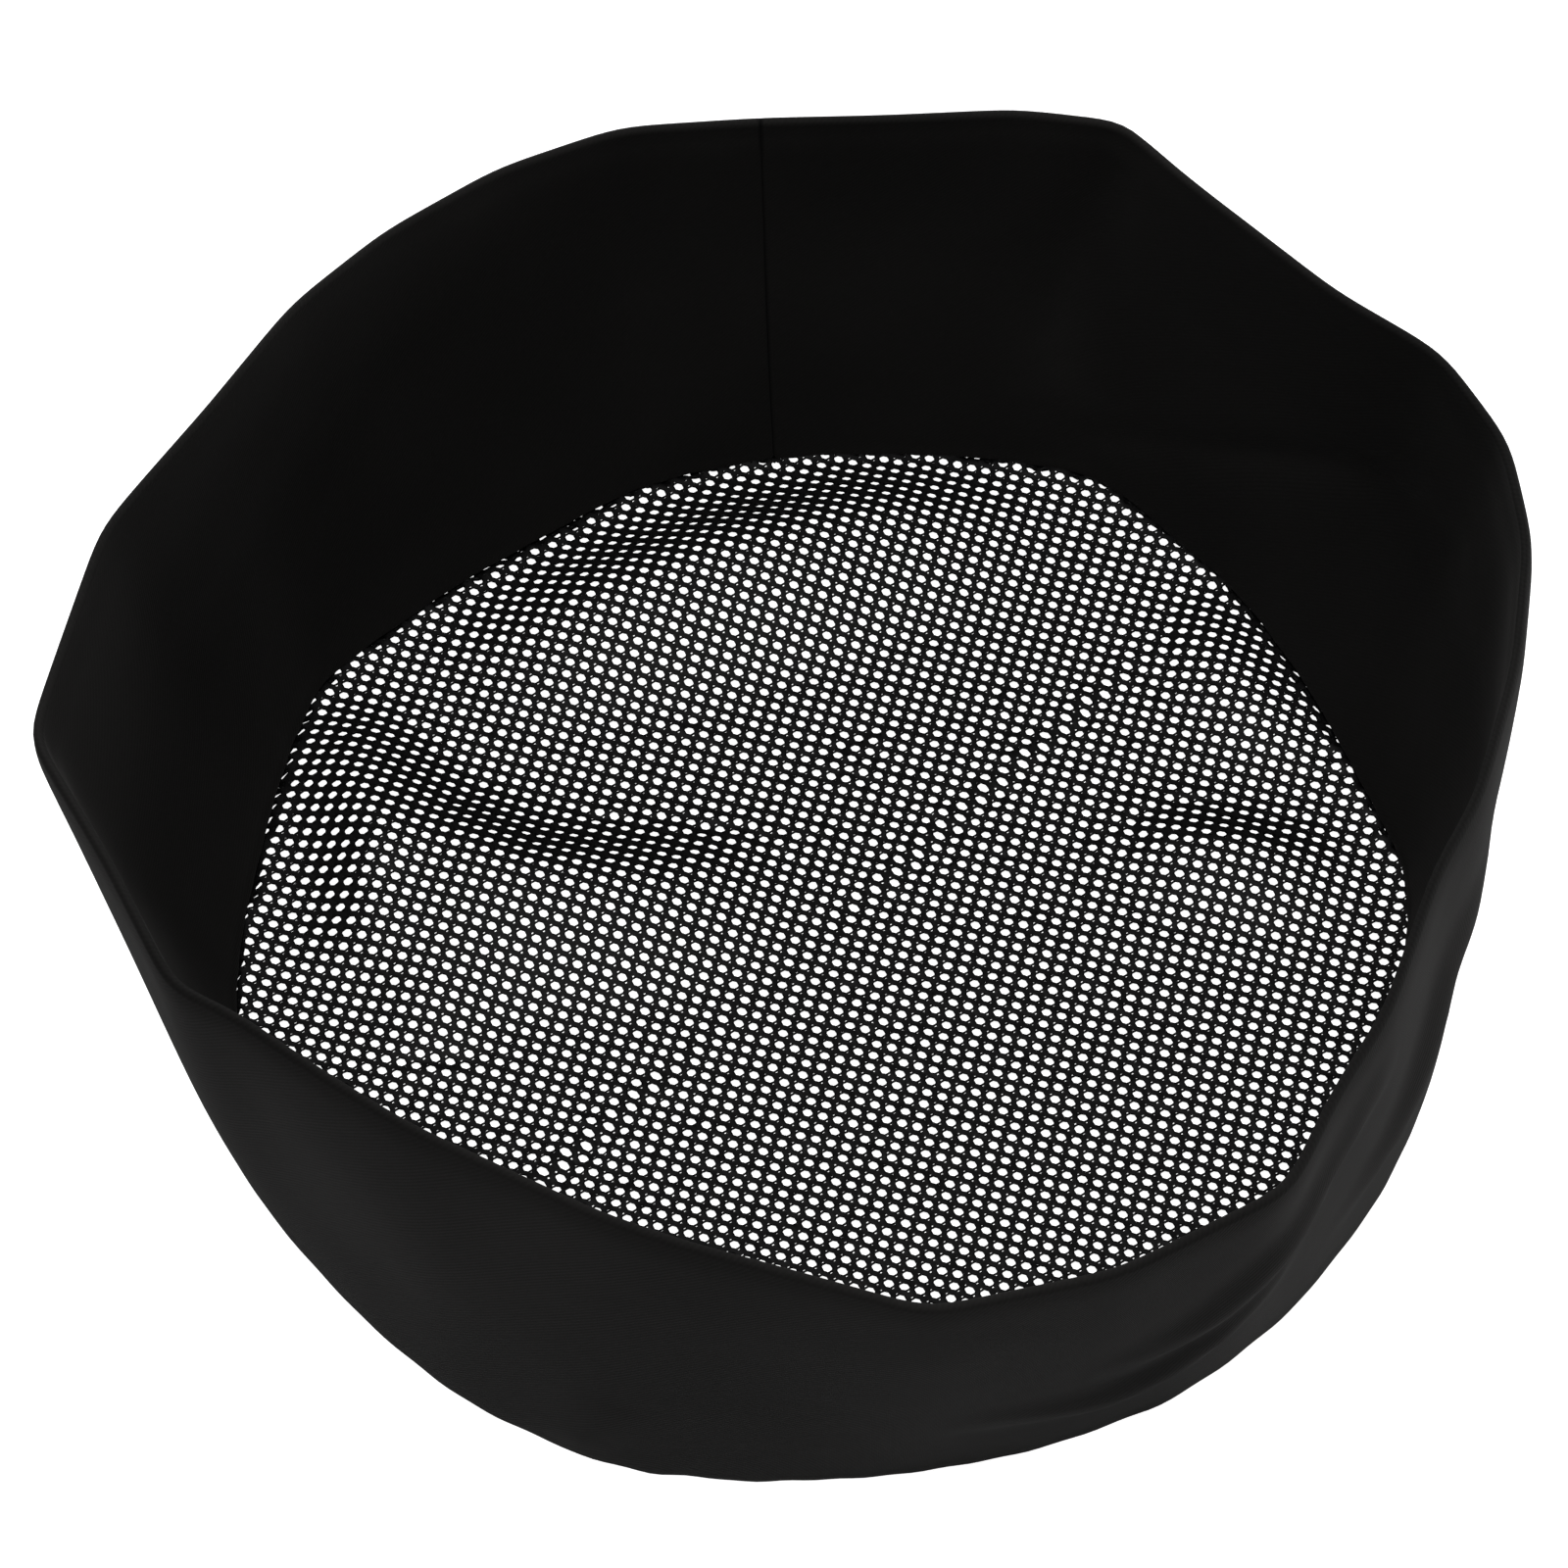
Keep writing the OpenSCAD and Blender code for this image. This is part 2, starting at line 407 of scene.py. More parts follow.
def folded_strip_path(slope_length):
    """The middle of the folded strip in section, as depths and heights, from one raw edge to the other."""
    half = CLOTH_THICK / 2
    outer = half
    outer_turn = OUTER_TURN_MIDDLE
    inner = INNER_LEAF_DEPTH + half
    inner_low = INNER_LEAF_LOW_DEPTH + half
    inner_turn = INNER_TURN_DEPTH + half
    inner_foot = MESH_THICK + FOOT_GAP
    outer_radius = (outer_turn - outer) / 2
    foot_radius = (inner_low - inner_turn) / 2
    crest = outer + FOLD_HALF
    fold_start = slope_length - FOLD_DROP
    return np.vstack([
        line((outer_turn, SEAM_ALLOWANCE), (outer_turn, outer_radius + half), 3),
        arc(((outer + outer_turn) / 2, outer_radius + half), outer_radius, 0, -180, 7),
        line((outer, outer_radius + half), (outer, fold_start), 44),
        half_ellipse((crest, fold_start), FOLD_HALF, FOLD_DROP, 13),
        line((crest + FOLD_HALF, fold_start), (inner, slope_length - FOLD_TAPER), 4),
        line((inner, slope_length - FOLD_TAPER), (inner, LINING_SLOPE_TOP), 16),
        line((inner, LINING_SLOPE_TOP), (inner_low, SEAM_ALLOWANCE), 18),
        line((inner_low, SEAM_ALLOWANCE), (inner_low, inner_foot + foot_radius + half), 4),
        arc(((inner_low + inner_turn) / 2, inner_foot + foot_radius + half), foot_radius, 0, -180, 7),
        line((inner_turn, inner_foot + foot_radius + half), (inner_turn, SEAM_ALLOWANCE), 3),
    ])


def section_normals(path):
    """Unit directions to the left of a path in section, which is the face side of the strip."""
    ahead = np.gradient(path, axis=0)
    ahead /= np.linalg.norm(ahead, axis=1, keepdims=True)
    return np.stack([-ahead[:, 1], ahead[:, 0]], axis=1)


def band_fractions(girth):
    """Where the band's columns stand along it, closer together beside the back seam."""
    close = np.array([0, 0.12, 0.28, 0.5, 0.8, 1.2, 1.8]) * MM
    far = np.linspace(2.6 * MM, girth - 2.6 * MM, BAND_COLUMNS)
    return np.concatenate([close, far, girth - close[:0:-1]]) / girth


def distance_to_seam(fractions, girth):
    """Distance along the band from the back seam, below zero on one side of it."""
    return (np.mod(fractions + 0.5, 1.0) - 0.5) * girth


def seam_relief(distance):
    """How far the face and the back of the cloth are raised over the turned-in ends beside the back seam.

    The face is also sunk at the seam itself."""
    beside = 1 / (1 + np.exp((np.abs(distance) - SEAM_ALLOWANCE) / BACK_RAISE_EDGE))
    groove = np.exp(-(distance / BACK_GROOVE_HALF) ** 2)
    return BACK_RAISE * beside - BACK_GROOVE_DEPTH * groove, BACK_RAISE * beside


def pucker(fractions, heights, girth):
    """Small uneven puckers where the band is gathered at the crown seam, and faint waves higher up."""
    along = fractions[:, None] * 2 * math.pi
    up = np.asarray(heights)[None, :]
    near_seam = np.exp(-np.maximum(up, 0) / PUCKER_REACH)
    fine = (np.sin(43 * along + 2.0 * np.sin(5 * along)) * (0.5 + 0.5 * np.sin(7 * along + 1.0)) ** 2
            + 0.4 * np.sin(67 * along + 3.0 * np.sin(4 * along + 0.7)))
    broad = np.sin(9 * along + 60 * up + 1.3 * np.sin(3 * along)) + 0.6 * np.sin(17 * along - 45 * up + 0.4)
    middle = np.sin(np.clip(up / WAVE_SPAN, 0, 1) * math.pi)
    return PUCKER_HEIGHT * fine * near_seam + WAVE_HEIGHT * broad * middle


def make_band(wall):
    """The folded strip of twill: outside, rim and lining, with its edges turned in at the crown seam."""
    path = folded_strip_path(wall.length)
    normals = section_normals(path)
    fractions = band_fractions(wall.girth)
    distance = distance_to_seam(fractions, wall.girth)
    face_relief, back_relief = seam_relief(distance)
    waves = pucker(fractions, path[:, 1], wall.girth)
    centre, inward, up = wall.points(fractions, path[:, 1], path[:, 0])
    side = inward * normals[None, :, :1] + up * normals[None, :, 1:]
    half = CLOTH_THICK / 2
    out_of_band = -waves[:, :, None] * inward
    below_fold = np.clip((wall.length - path[:, 1]) / SEAM_ALLOWANCE, 0, 1)[None, :, None]
    face = centre + side * (half + face_relief[:, None, None] * below_fold) + out_of_band
    back = centre - side * (half - back_relief[:, None, None] * below_fold) + out_of_band
    loop = np.concatenate([face, back[:, ::-1]], axis=1)
    columns, rows = loop.shape[:2]
    band = new_piece("band_cloth_folded", loop.reshape(-1, 3), grid_faces(columns, rows, True, True))
    steps = np.linalg.norm(np.diff(path, axis=0), axis=1)
    strip_place = np.concatenate([[0], np.cumsum(steps)])
    strip_place = np.concatenate([strip_place, strip_place[::-1]])
    lay_cloth_coordinates(band, fractions * wall.girth, strip_place, wall.girth)
    return band


def lay_cloth_coordinates(piece, along, across, girth):
    """Gives a woven piece the flat coordinates of its cloth, in metres, for the weave to follow.

    Every face of the piece is a quad. Those that close the ring run up to the girth, not back to zero."""
    layer = piece.data.uv_layers.new(name="cloth")
    corners = np.empty(len(piece.data.loops), np.int64)
    piece.data.loops.foreach_get("vertex_index", corners)
    column, row = np.divmod(corners, len(across))
    of_face = column.reshape(-1, 4)
    closes_ring = np.repeat(of_face.max(axis=1) - of_face.min(axis=1) > 1, 4)
    place_along = np.where(closes_ring & (column == 0), girth, along[column])
    flat = np.column_stack([place_along, across[row]])
    layer.data.foreach_set("uv", flat.astype(np.float32).ravel())


def make_interlining(wall):
    """The stiffening layer between the leaves, cut short of the back seam."""
    gap = SEAM_ALLOWANCE + INTERLINING_SEAM_GAP
    fractions = np.linspace(gap, wall.girth - gap, INTERLINING_COLUMNS) / wall.girth
    up = np.linspace(2 * SEAM_ALLOWANCE, wall.length - INTERLINING_BELOW_FOLD, INTERLINING_ROWS)
    heights = np.concatenate([up, up[::-1]])
    near = INTERLINING_MIDDLE - INTERLINING_THICK / 2
    depths = np.repeat([near, near + INTERLINING_THICK], INTERLINING_ROWS)
    points, inward, _ = wall.points(fractions, heights, depths)
    points = points - pucker(fractions, heights, wall.girth)[:, :, None] * inward
    columns, rows = points.shape[:2]
    faces = grid_faces(columns, rows, False, True).tolist()
    for start, order in ((0, 1), ((columns - 1) * rows, -1)):
        for row in range(INTERLINING_ROWS - 1):
            quad = [start + place for place in (row, row + 1, rows - 2 - row, rows - 1 - row)]
            faces.append(quad[::order])
    return new_piece("band_interlining_layer", points.reshape(-1, 3), faces)


def crown_edge(crown_outline):
    """A function giving the distance from the centre to the outside of the crown seam at any angle."""
    angles = np.unwrap(np.arctan2(crown_outline[:, 1], crown_outline[:, 0]))
    radii = np.linalg.norm(crown_outline, axis=1)
    order = np.argsort(np.mod(angles, 2 * math.pi))
    sorted_angles = np.mod(angles, 2 * math.pi)[order]

    def edge(at):
        return np.interp(np.mod(at, 2 * math.pi), sorted_angles, radii[order], period=2 * math.pi)
    return edge


class CrownSheet:
    """The settled middle of the mesh crown. It carries flat places on the uncut mesh to places in space."""

    def __init__(self, edge):
        self.edge = edge
        self.reach = CROWN_REACH
        self.count = int(round(2 * self.reach / CROWN_GRID)) + 1
        self.shift = np.zeros((self.count, self.count, 3))
        self.settle()

    def turn_radius(self, angle):
        """How far from the centre the middle of the mesh turns up, at each angle."""
        return self.edge(angle) - MESH_TURN_DEPTH - MESH_THICK / 2

    def settle(self):
        """Lets a mesh panel that is a little too big for its seam come to rest on the table."""
        ticks = np.linspace(-self.reach, self.reach, self.count)
        x, y = np.meshgrid(ticks, ticks, indexing="ij")
        radius = np.hypot(x, y)
        turn = self.turn_radius(np.arctan2(y, x))
        used = radius < turn + 1.5 * CROWN_GRID
        number = np.full(used.shape, -1)
        number[used] = np.arange(used.sum())
        corners = [number[:-1, :-1], number[1:, :-1], number[1:, 1:], number[:-1, 1:]]
        quads = np.stack(corners, axis=-1).reshape(-1, 4)
        quads = quads[(quads >= 0).all(axis=1)]
        flat = np.column_stack([x[used], y[used], np.full(used.sum(), CROWN_START_HEIGHT)])
        waves = np.sin(190 * flat[:, 0] + 40 * flat[:, 1]) * np.sin(120 * flat[:, 1] + 1.0)
        ripple = CROWN_RIPPLE * (1 + waves)
        held = np.flatnonzero(radius[used] > turn[used] - CROWN_GRID)
        start = flat.copy()
        start[:, 2] += ripple + fold_height(flat[:, 0] / MM, flat[:, 1] / MM, CROWN_FOLDS)
        start[held, 2] = flat[held, 2]
        settled = start
        settled = settle_cloth(start, quads, held, extra_cloth=0.003, bending=4, on_table=True)
        self.shift[used] = settled - flat

    def sample_shift(self, x, y):
        """How far the settling moved the sheet at flat places between the points of its grid."""
        place_x = np.clip((x + self.reach) / CROWN_GRID, 0, self.count - 1.001)
        place_y = np.clip((y + self.reach) / CROWN_GRID, 0, self.count - 1.001)
        low_x, low_y = np.floor(place_x).astype(int), np.floor(place_y).astype(int)
        part_x, part_y = (place_x - low_x)[:, None], (place_y - low_y)[:, None]
        grid = self.shift
        return ((grid[low_x, low_y] * (1 - part_x) + grid[low_x + 1, low_y] * part_x) * (1 - part_y)
                + (grid[low_x, low_y + 1] * (1 - part_x) + grid[low_x + 1, low_y + 1] * part_x) * part_y)

    def place(self, x, y, lift):
        """Points in space for flat places x and y, raised by lift from the middle of the mesh.

        Past the crown seam the mesh turns up between the two leaves of the band."""
        angle = np.arctan2(y, x)
        radius = np.hypot(x, y)
        turn = self.turn_radius(angle)
        past = np.maximum(radius - (turn - MESH_BEND), 0)
        round_part = np.clip(past / MESH_BEND, 0, math.pi / 2)
        straight = np.maximum(past - MESH_BEND * math.pi / 2, 0)
        flat_radius = np.minimum(radius, turn - MESH_BEND)
        out = flat_radius + (MESH_BEND - lift) * np.sin(round_part)
        height = MESH_THICK / 2 + MESH_BEND - (MESH_BEND - lift) * np.cos(round_part) + straight
        step = CROWN_GRID / 2
        slope_x = (self.sample_shift(x + step, y) - self.sample_shift(x - step, y))[:, 2] / (2 * step)
        slope_y = (self.sample_shift(x, y + step) - self.sample_shift(x, y - step))[:, 2] / (2 * step)
        direction = np.column_stack([np.cos(angle), np.sin(angle)])
        points = np.column_stack([direction * out[:, None], height])
        points += self.sample_shift(x, y)
        points[:, 0] -= slope_x * lift
        points[:, 1] -= slope_y * lift
        return points


def octagon(length, width, cut):
    """The eight corners of a rectangle whose own corners are cut off, starting at the right."""
    x, y = length / 2, width / 2
    quarter = [(x, y - cut), (x - cut, y)]
    mirrored = [(-px, py) for px, py in reversed(quarter)]
    return quarter + mirrored + [(-px, -py) for px, py in quarter + mirrored]


def cell_corners():
    """Each corner of a cell of the mesh, between the places where the cut of the corner starts and ends."""
    corners = []
    for sign_x, sign_y in ((1, 1), (-1, 1), (-1, -1), (1, -1)):
        x, y = sign_x * HOLE_PITCH / 2, sign_y * ROW_PITCH / 2
        across_rows = (x, y - sign_y * CORNER_CUT_ACROSS_ROWS)
        along_row = (x - sign_x * CORNER_CUT_ALONG_ROW, y)
        corner = [across_rows, (x, y), along_row]
        corners.append(corner if sign_x == sign_y else corner[::-1])
    return corners


def knit_cell():
    """One cell of the mesh: a hole ringed by yarn, and two small slits where four rings meet.

    Gives flat points, each with its lift from the middle of the mesh, and the faces between them."""
    hole = octagon(HOLE_LENGTH, HOLE_WIDTH, HOLE_CHAMFER)
    crest = octagon(HOLE_LENGTH + 2 * CREST_BEYOND_HOLE, HOLE_WIDTH + 2 * CREST_BEYOND_HOLE, CREST_CHAMFER)
    corners = cell_corners()
    points = []
    faces = []

    def add(x, y, lift):
        points.append((x, y, lift))
        return len(points) - 1

    waist = [add(x, y, 0) for x, y in hole]
    slit_rims = []
    for side in (1, -1):
        ring = [add(x, y, side * CREST_LIFT) for x, y in crest]
        edge = [[add(x, y, side * BORDER_LIFT) for x, y in corner] for corner in corners]
        patches = [[waist[i], ring[i], ring[(i + 1) % 8], waist[(i + 1) % 8]] for i in range(8)]
        rims = []
        for k in range(4):
            low, high = ring[2 * k], ring[2 * k + 1]
            start, corner, end = edge[k]
            following = edge[(k + 1) % 4][0]
            patches.append([high, end, following, ring[(2 * k + 2) % 8]])
            patches.append([start, corner, end])
            kite = [low, start, end, high]
            if k % 2 == 1:
                middle = np.mean([points[i] for i in kite], axis=0)
                slit = []
                for i in kite:
                    x, y, lift = middle + (np.array(points[i]) - middle) * SLIT_SHARE
                    slit.append(add(x, y, lift * SLIT_LIFT_SHARE))
                patches += [[kite[i], kite[(i + 1) % 4], slit[(i + 1) % 4], slit[i]] for i in range(4)]
                rims.append(slit)
            else:
                patches.append(kite)
        slit_rims.append(rims)
        faces += patches if side == 1 else [patch[::-1] for patch in patches]
    for upper, lower in zip(*slit_rims):
        faces += [[upper[i], upper[(i + 1) % 4], lower[(i + 1) % 4], lower[i]] for i in range(4)]
    return np.array(points), faces


def make_mesh_crown(sheet):
    """The knitted mesh panel, hole by hole, with its edge turned up between the leaves of the band."""
    cell, cell_faces = knit_cell()
    along_row = np.array([math.cos(ROW_DIRECTION), math.sin(ROW_DIRECTION)])
    across_rows = np.array([-along_row[1], along_row[0]])
    span = int(sheet.reach / ROW_PITCH) + 2
    i, j = np.meshgrid(np.arange(-span, span + 1), np.arange(-span, span + 1), indexing="ij")
    centres = np.stack([i.ravel() * HOLE_PITCH, j.ravel() * ROW_PITCH], axis=1)
    world = centres[:, :1] * along_row + centres[:, 1:] * across_rows
    radius = np.linalg.norm(world, axis=1)
    kept = radius < sheet.turn_radius(np.arctan2(world[:, 1], world[:, 0])) + MESH_TURN_UP
    centres = centres[kept]
    flat = centres[:, None, :] + cell[None, :, :2]
    lift = np.broadcast_to(cell[None, :, 2:], flat.shape[:2] + (1,))
    every = np.concatenate([flat, lift], axis=2).reshape(-1, 3)
    keys = np.round(every / (1e-3 * MM)).astype(np.int64)
    _, first, number = np.unique(keys, axis=0, return_index=True, return_inverse=True)
    number = number.reshape(len(centres), len(cell))
    shared = every[first]
    x = shared[:, 0] * along_row[0] + shared[:, 1] * across_rows[0]
    y = shared[:, 0] * along_row[1] + shared[:, 1] * across_rows[1]
    points = sheet.place(x, y, shared[:, 2])
    faces = [cell_face for face in cell_faces for cell_face in number[:, face].tolist()]
    piece = new_piece("crown_mesh_knit", points, faces)
    # A mask for the yarn's painted shade: zero at each hole's edge, growing outwards between the holes.
    beside_hole = np.hypot(cell[:, 0] / HOLE_LENGTH, cell[:, 1] / HOLE_WIDTH) * 2 - 1
    hole_shade_mask = piece.data.attributes.new("hole_shade_mask", "FLOAT", "POINT")
    hole_shade_mask.data.foreach_set("value", beside_hole[first % len(cell)].astype(np.float32))
    return piece


def make_stitches(name, centres, directions):
    """One thread's stitches: a short rod with rounded ends for each centre and direction."""
    rings = [(-0.5, 0.35), (-0.42, 0.85), (-0.3, 1.0), (0.3, 1.0), (0.42, 0.85), (0.5, 0.35)]
    length = 0.8 * STITCH_PITCH
    directions = directions / np.linalg.norm(directions, axis=1, keepdims=True)
    helper = np.where(np.abs(directions[:, 2:]) < 0.9, [[0, 0, 1]], [[1, 0, 0]])
    across = np.cross(directions, helper)
    across /= np.linalg.norm(across, axis=1, keepdims=True)
    other = np.cross(directions, across)
    points = []
    for place, width in rings:
        for side in range(THREAD_SIDES):
            angle = 2 * math.pi * side / THREAD_SIDES
            spoke = across * math.cos(angle) + other * math.sin(angle)
            points.append(centres + directions * place * length + spoke * width * THREAD_RADIUS)
    rod_points = len(rings) * THREAD_SIDES
    rod_faces = [list(range(THREAD_SIDES))[::-1], list(range(rod_points - THREAD_SIDES, rod_points))]
    for start in range(0, rod_points - THREAD_SIDES, THREAD_SIDES):
        for side in range(THREAD_SIDES):
            here, following = start + side, start + (side + 1) % THREAD_SIDES
            rod_faces.append([here, following, following + THREAD_SIDES, here + THREAD_SIDES])
    faces = [[rod_points * stitch + i for i in face] for stitch in range(len(centres)) for face in rod_faces]
    return new_piece(name, np.stack(points, axis=1).reshape(-1, 3), faces)


def make_crown_thread(name, wall, depth):
    """One thread's stitches all round the crown seam, at a depth into the band."""
    count = int(wall.girth / STITCH_PITCH)
    fractions = (np.arange(count) + 0.5) / count
    centres = wall.points(fractions, [CROWN_STITCH_HEIGHT], [depth])[0][:, 0]
    ahead = wall.points(fractions + 0.2 / count, [CROWN_STITCH_HEIGHT], [depth])[0][:, 0]
    return make_stitches(name, centres, ahead - centres)


def make_back_thread(name, wall, offset):
    """Stitches up the outer leaf's seam and down the inner leaf's, to one side of the seam."""
    heights = np.arange(2 * SEAM_ALLOWANCE, wall.length - BACK_STITCH_BELOW_RIM, STITCH_PITCH)
    centres = []
    directions = []
    for depth in (CLOTH_THICK + BACK_STITCH_DEPTH, INNER_LEAF_DEPTH - BACK_STITCH_DEPTH):
        points, _, up = wall.points(np.array([offset / wall.girth]), heights, np.full(len(heights), depth))
        centres.append(points[0])
        directions.append(up[0])
    return make_stitches(name, np.vstack(centres), np.vstack(directions))


class Nodes:
    """Short calls for building one material's node tree."""

    def __init__(self, name):
        self.material = bpy.data.materials.new(name)
        self.material.use_nodes = True
        self.tree = self.material.node_tree
        self.shader = self.tree.nodes["Principled BSDF"]

    def add(self, kind, **values):
        node = self.tree.nodes.new("ShaderNode" + kind)
        for name, value in values.items():
            setattr(node, name, value)
        return node

    def link(self, source, target):
        self.tree.links.new(source, target)

    def put(self, socket, value):
        if isinstance(value, bpy.types.NodeSocket):
            self.link(value, socket)
        else:
            socket.default_value = value

    def math(self, operation, first, second=0.0):
        node = self.add("Math", operation=operation)
        self.put(node.inputs[0], first)
        self.put(node.inputs[1], second)
        return node.outputs[0]

    def noise(self, coordinates, scale, detail=2.0, roughness=0.5):
        node = self.add("TexNoise")
        self.link(coordinates, node.inputs["Vector"])
        node.inputs["Scale"].default_value = scale
        node.inputs["Detail"].default_value = detail
        node.inputs["Roughness"].default_value = roughness
        return node.outputs["Fac"]

    def ramp(self, value, stops):
        node = self.add("ValToRGB")
        self.link(value, node.inputs["Fac"])
        elements = node.color_ramp.elements
        while len(elements) < len(stops):
            elements.new(0.5)
        for element, (position, colour) in zip(elements, stops):
            element.position = position
            element.color = (*colour, 1.0)
        return node.outputs["Color"]

    def spread(self, value, low, high):
        node = self.add("MapRange")
        self.put(node.inputs["Value"], value)
        node.inputs["To Min"].default_value = low
        node.inputs["To Max"].default_value = high
        return node.outputs["Result"]

    def bump(self, height, strength, distance, before=None):
        node = self.add("Bump")
        node.inputs["Strength"].default_value = strength
        node.inputs["Distance"].default_value = distance
        self.link(height, node.inputs["Height"])
        if before is not None:
            self.link(before, node.inputs["Normal"])
        return node.outputs["Normal"]

    def stripes(self, along, across, angle, pitch):
        """Waves of the given pitch whose crests run at an angle to the cloth's length."""
        turned = self.math("ADD", self.math("MULTIPLY", along, math.sin(angle)),
                           self.math("MULTIPLY", across, math.cos(angle)))
        phase = self.math("MULTIPLY", turned, 2 * math.pi / pitch)
        return self.math("MULTIPLY_ADD", self.math("SINE", phase), 0.5)

    def finish(self, **sockets):
        for name, value in sockets.items():
            self.put(self.shader.inputs[name.replace("_", " ")], value)
        return self.material


def twill_material(girth):
    """Fine black twill: slanting ribs crossed by single yarns, a little fuzz, and a soft sheen.

    The gap of the back seam, where the band's two ends meet, is darkened with painted shade for the shadow in
    its groove."""
    n = Nodes("black_twill")
    cloth = n.add("UVMap", uv_map="cloth").outputs["UV"]
    split = n.add("SeparateXYZ")
    n.link(cloth, split.inputs["Vector"])
    along, across = split.outputs["X"], split.outputs["Y"]
    ribs = n.stripes(along, across, math.radians(-45), 0.6 * MM)
    yarns = n.stripes(along, across, math.radians(90), 0.25 * MM)
    space = n.add("TexCoord").outputs["Object"]
    patches = n.noise(space, 15.0, 3.0)
    fuzz = n.noise(space, 2600.0, 2.0)
    weave = n.math("MULTIPLY", ribs, n.spread(yarns, 0.6, 1.0))
    mottled = n.math("ADD", n.math("MULTIPLY", patches, 0.9), n.math("MULTIPLY", fuzz, 0.3))
    tone = n.math("ADD", mottled, n.math("MULTIPLY", weave, 0.12))
    # Painted shade: the colour falls to black at the back seam, standing in for the shadow in its groove.
    to_seam = n.math("MINIMUM", along, n.math("SUBTRACT", girth, along))
    out_of_seam_shade = n.math("MINIMUM", n.math("DIVIDE", to_seam, BACK_GAP_SHADE), 1.0)
    tone = n.math("MULTIPLY", tone, out_of_seam_shade)
    colour = n.ramp(tone, [(0.0, (0.0010, 0.0010, 0.0010)), (0.45, (0.0048, 0.0046, 0.0044)),
                           (1.0, (0.0122, 0.0115, 0.0110))])
    creases = n.bump(n.noise(space, 70.0, 3.0), 0.2, 0.5 * MM)
    surface = n.bump(weave, 0.25, 0.08 * MM, creases)
    surface = n.bump(fuzz, 0.3, 0.04 * MM, surface)
    n.shader.inputs["Sheen Tint"].default_value = (1.0, 0.97, 0.95, 1.0)
    return n.finish(Base_Color=colour, Roughness=n.spread(tone, 0.85, 0.7), Normal=surface,
                    Specular_IOR_Level=0.08, Sheen_Weight=0.02, Sheen_Roughness=0.4)


def yarn_material():
    """Smooth black knitting yarn with its fine filaments, darkened with painted shade where it turns down
    into a hole.
    """
    n = Nodes("black_mesh_yarn")
    space = n.add("TexCoord").outputs["Object"]
    filaments = n.noise(space, 3200.0, 2.0)
    lint = n.noise(space, 40.0, 3.0)
    # Painted shade: the yarn's colour is darkest at each hole's edge, where it turns down into shadow, and
    # lighter between the holes.
    hole_shade_mask = n.add("Attribute", attribute_name="hole_shade_mask").outputs["Fac"]
    tone = n.math("MULTIPLY", hole_shade_mask, n.spread(lint, 0.75, 1.0))
    colour = n.ramp(tone, [(0.05, (0.0005, 0.0005, 0.0006)), (0.30, (0.0012, 0.0012, 0.0013)),
                           (0.70, (0.0050, 0.0049, 0.0050))])
    return n.finish(Base_Color=colour, Roughness=n.spread(filaments, 0.5, 0.75),
                    Normal=n.bump(filaments, 0.35, 0.05 * MM), Specular_IOR_Level=0.12)


def thread_material():
    """Black spun thread with its twist."""
    n = Nodes("black_thread")
    space = n.add("TexCoord").outputs["Object"]
    twist = n.noise(space, 2400.0, 2.0)
    colour = n.ramp(twist, [(0.3, (0.006, 0.006, 0.006)), (0.7, (0.014, 0.014, 0.014))])
    return n.finish(Base_Color=colour, Roughness=0.6, Normal=n.bump(twist, 0.4, 0.05 * MM))


def interlining_material():
    """Off-white non-woven sheet with its matted fibres."""
    n = Nodes("interlining_felt")
    space = n.add("TexCoord").outputs["Object"]
    fibres = n.noise(space, 900.0, 4.0, 0.7)
    colour = n.ramp(fibres, [(0.3, (0.45, 0.44, 0.41)), (0.7, (0.62, 0.61, 0.58))])
    return n.finish(Base_Color=colour, Roughness=0.95, Normal=n.bump(fibres, 0.4, 0.1 * MM))


def floor_material():
    """A pale table that glows only to the camera, as a lit sheet does, so it stays white under the cap."""
    n = Nodes("pale_table")
    n.shader.inputs["Emission Color"].default_value = (1.0, 1.0, 1.0, 1.0)
    seen = n.add("LightPath").outputs["Is Camera Ray"]
    return n.finish(Base_Color=(0.5, 0.5, 0.5, 1.0), Roughness=0.9, Emission_Strength=seen,
                    Specular_IOR_Level=0.0)


def dress(piece, material, slot, *nodes):
    """Gives a piece its material and its place in the CAD frame."""
    piece.data.materials.clear()
    piece.data.materials.append(material)
    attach(piece, BODY)
    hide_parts(*nodes)


def make_floor():
    floor = new_piece("floor", *square(3.0), smooth=False)
    floor.location.z = -FLOOR_BELOW_CAP
    floor.data.materials.append(floor_material())


def aim(thing, target):
    """Turns a camera or a lamp to look at a place, and keeps it upright."""
    direction = np.array(target) - np.array(thing.location)
    flat = math.hypot(direction[0], direction[1])
    turn = math.atan2(direction[1], direction[0]) - math.pi / 2
    thing.rotation_euler = (math.atan2(flat, -direction[2]), 0, turn)


def add_lamp(name, place, power):
    light = bpy.data.lights.new(name, "AREA")
    light.shape = "DISK"
    light.size = LAMP_SIZE
    light.energy = power
    lamp = bpy.data.objects.new(name, light)
    lamp.location = place
    aim(lamp, LAMP_TARGET)
    bpy.context.scene.collection.objects.link(lamp)


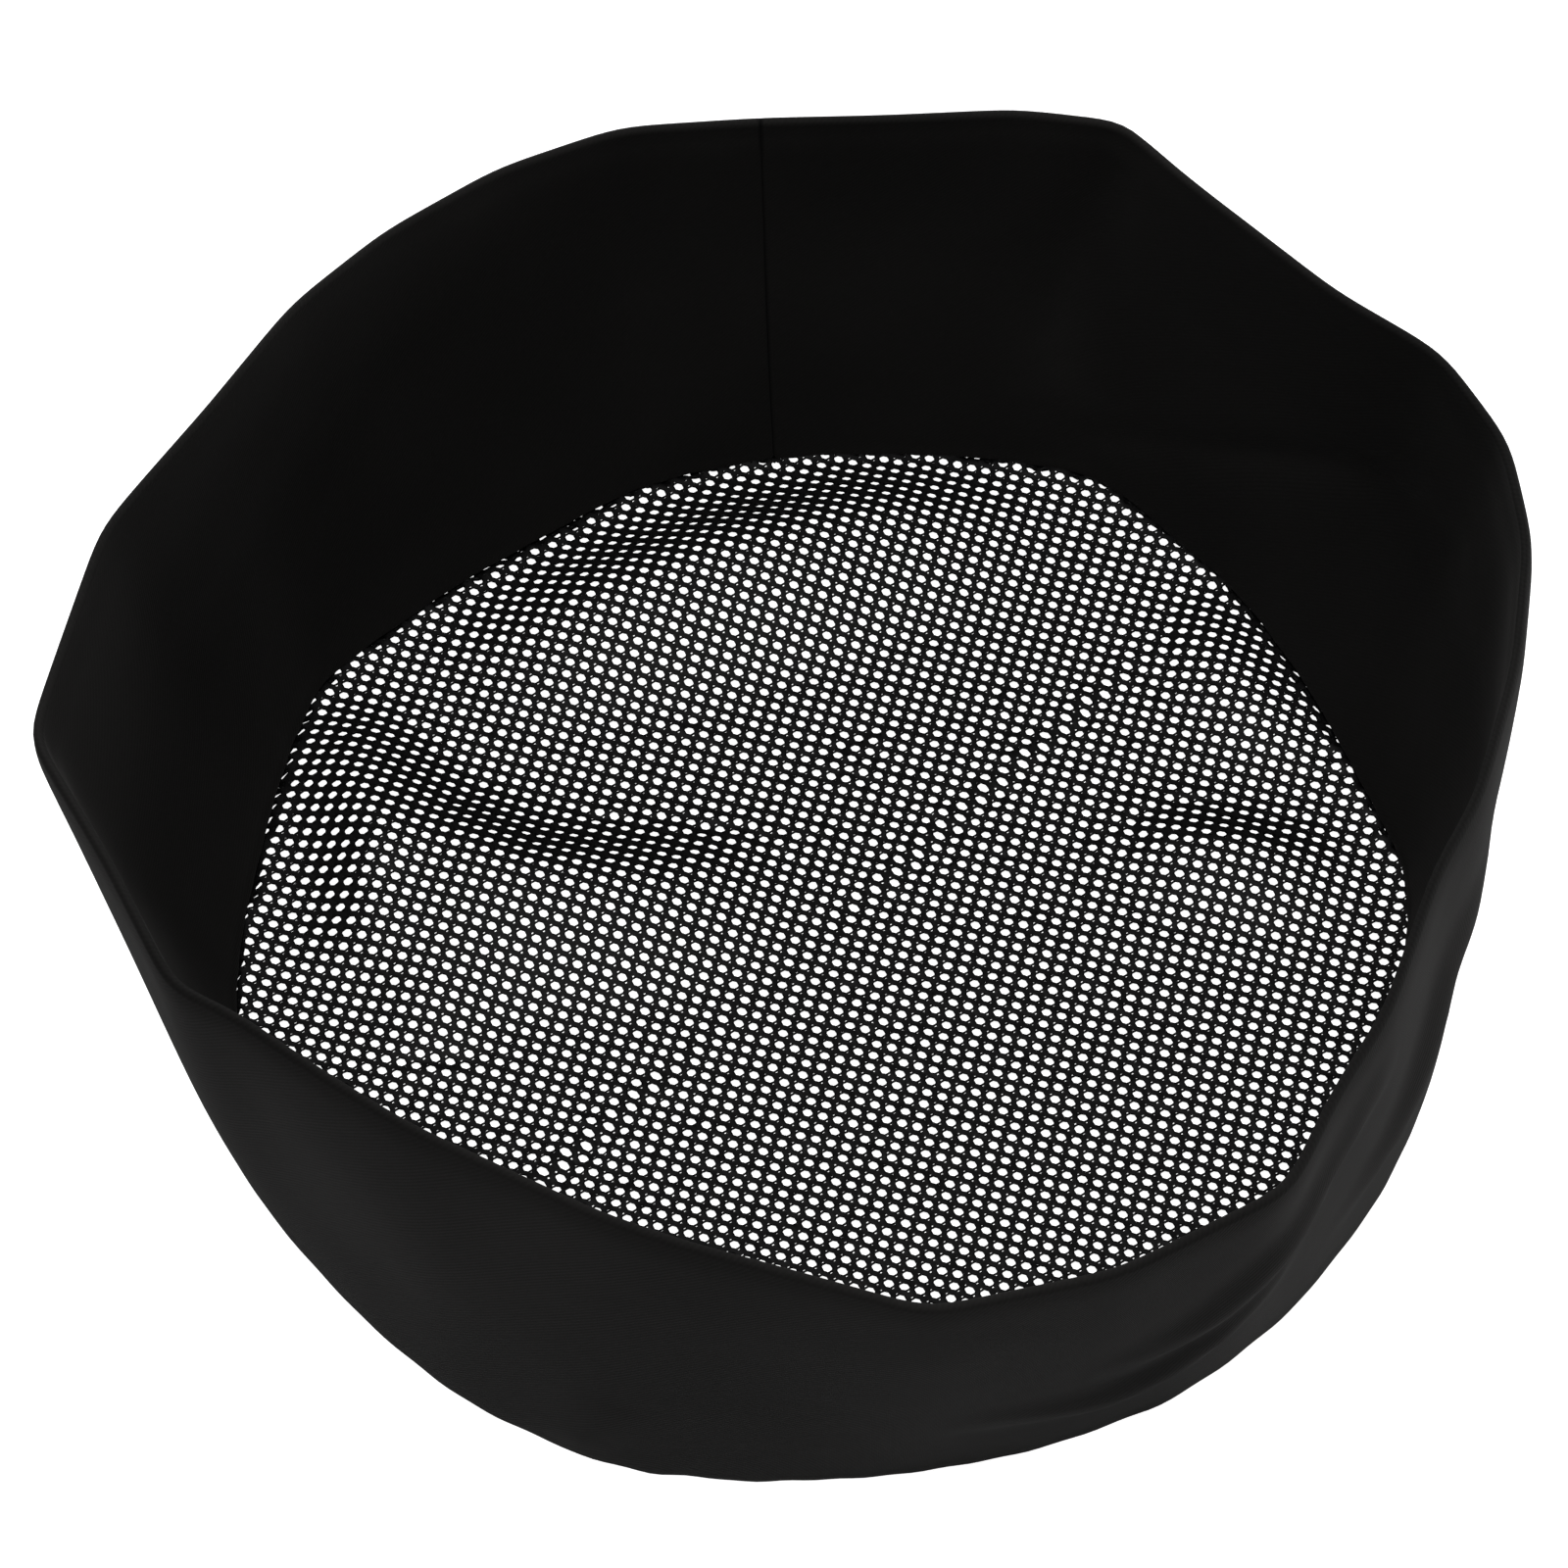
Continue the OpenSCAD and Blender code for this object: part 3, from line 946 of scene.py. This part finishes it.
def light_the_studio():
    """White surroundings that light the cap only a little, and the lamps."""
    world = bpy.data.worlds.new("white_studio")
    world.use_nodes = True
    tree = world.node_tree
    background = tree.nodes["Background"]
    background.inputs["Color"].default_value = (1.0, 1.0, 1.0, 1.0)
    seen = tree.nodes.new("ShaderNodeLightPath")
    strength = tree.nodes.new("ShaderNodeMapRange")
    strength.inputs["To Min"].default_value = AMBIENT_LIGHT
    tree.links.new(seen.outputs["Is Camera Ray"], strength.inputs["Value"])
    tree.links.new(strength.outputs["Result"], background.inputs["Strength"])
    scene = bpy.context.scene
    scene.world = world
    scene.view_settings.view_transform = "Standard"
    for name, place, power in LAMPS:
        add_lamp(name, place, power)


def place_camera():
    camera_data = bpy.data.cameras.new("camera")
    camera_data.sensor_width = CAMERA_SENSOR_MM
    camera_data.lens = CAMERA_LENS_MM
    camera = bpy.data.objects.new("camera", camera_data)
    camera.location = CAMERA_PLACE
    aim(camera, CAMERA_TARGET)
    bpy.context.scene.collection.objects.link(camera)
    bpy.context.scene.camera = camera


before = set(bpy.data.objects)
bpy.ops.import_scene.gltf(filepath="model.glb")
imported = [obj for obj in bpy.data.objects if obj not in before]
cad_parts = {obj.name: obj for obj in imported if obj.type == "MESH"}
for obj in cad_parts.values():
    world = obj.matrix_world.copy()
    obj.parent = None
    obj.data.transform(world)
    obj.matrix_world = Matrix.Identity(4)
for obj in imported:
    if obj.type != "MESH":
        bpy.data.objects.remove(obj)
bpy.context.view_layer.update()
band_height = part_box("band_cloth")[1].z

rim_outline = rounded_outline(RIM_CORNERS, RIM_ROUNDING)
crown_outline = rounded_outline(CROWN_CORNERS, CROWN_ROUNDING)
wall = BandWall(settled_wall(rim_outline, crown_outline, band_height), band_height)
sheet = CrownSheet(crown_edge(crown_outline))

band = make_band(wall)
face_outwards(band)
interlining = make_interlining(wall)
face_outwards(interlining)
crown = make_mesh_crown(sheet)
crown_needle = make_crown_thread("crown_seam_needle_thread", wall, CROWN_NEEDLE_DEPTH)
crown_bobbin = make_crown_thread("crown_seam_bobbin_thread", wall, CROWN_BOBBIN_DEPTH)
back_needle = make_back_thread("back_seam_needle_thread", wall, BACK_STITCH_OFFSET)
back_bobbin = make_back_thread("back_seam_bobbin_thread", wall, -BACK_STITCH_OFFSET)

thread = thread_material()
dress(band, twill_material(wall.girth), "twill", "band_cloth")
dress(interlining, interlining_material(), "interlining", "band_interlining")
dress(crown, yarn_material(), "mesh", "crown_mesh")
dress(crown_needle, thread, "thread", "crown_needle_thread")
dress(crown_bobbin, thread, "thread", "crown_bobbin_thread")
dress(back_needle, thread, "thread", "back_needle_thread")
dress(back_bobbin, thread, "thread", "back_bobbin_thread")

make_floor()
light_the_studio()
place_camera()
